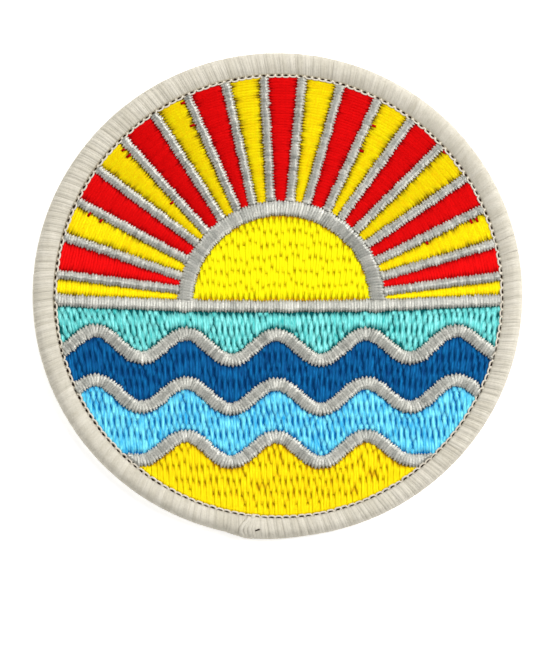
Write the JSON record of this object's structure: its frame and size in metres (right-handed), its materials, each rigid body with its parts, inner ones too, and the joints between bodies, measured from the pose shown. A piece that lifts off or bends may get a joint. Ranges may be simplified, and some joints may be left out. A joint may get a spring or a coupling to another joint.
{
  "type": "embroidered patch",
  "caption": "Round embroidered patch: half sun with rays over a wavy sea, stitched on twill, with a wound thread border.",
  "frame": {"origin": "under the middle of the patch, on the surface that it lies on", "axes": "+Z out of the stitched face, +Y to the top of the picture, +X to its right"},
  "size_m": [0.0762, 0.0765, 0.0024],
  "materials": {
    "twill": "twill weave with a bonded back",
    "border_thread": "wound thread, satin",
    "grey_thread": "satin thread",
    "sun_thread": "satin thread",
    "yellow_thread": "satin thread",
    "red_thread": "satin thread",
    "turquoise_thread": "satin thread",
    "dark_blue_thread": "satin thread",
    "light_blue_thread": "satin thread",
    "sand_thread": "satin thread"
  },
  "bodies": {
    "root": {"base_cloth": "twill", "merrow_border": "border_thread", "border_joint": "border_thread", "sun_fill": "sun_thread", "sun_arch": "grey_thread", "horizon": "grey_thread", "sea_turquoise": "turquoise_thread", "sea_dark_blue": "dark_blue_thread", "sea_light_blue": "light_blue_thread", "sand": "sand_thread", "wave_1": "grey_thread", "wave_2": "grey_thread", "wave_3": "grey_thread", "spoke_1": "grey_thread", "spoke_2": "grey_thread", "spoke_3": "grey_thread", "spoke_4": "grey_thread", "spoke_5": "grey_thread", "spoke_6": "grey_thread", "spoke_7": "grey_thread", "spoke_8": "grey_thread", "spoke_9": "grey_thread", "spoke_10": "grey_thread", "spoke_11": "grey_thread", "spoke_12": "grey_thread", "spoke_13": "grey_thread", "spoke_14": "grey_thread", "spoke_15": "grey_thread", "spoke_16": "grey_thread", "spoke_17": "grey_thread", "spoke_18": "grey_thread", "ray_yellow_1": "yellow_thread", "ray_yellow_2": "yellow_thread", "ray_yellow_3": "yellow_thread", "ray_yellow_4": "yellow_thread", "ray_yellow_5": "yellow_thread", "ray_yellow_6": "yellow_thread", "ray_yellow_7": "yellow_thread", "ray_yellow_8": "yellow_thread", "ray_yellow_9": "yellow_thread", "ray_yellow_10": "yellow_thread", "ray_red_1": "red_thread", "ray_red_2": "red_thread", "ray_red_3": "red_thread", "ray_red_4": "red_thread", "ray_red_5": "red_thread", "ray_red_6": "red_thread", "ray_red_7": "red_thread", "ray_red_8": "red_thread", "ray_red_9": "red_thread"}
  },
  "joints": []
}
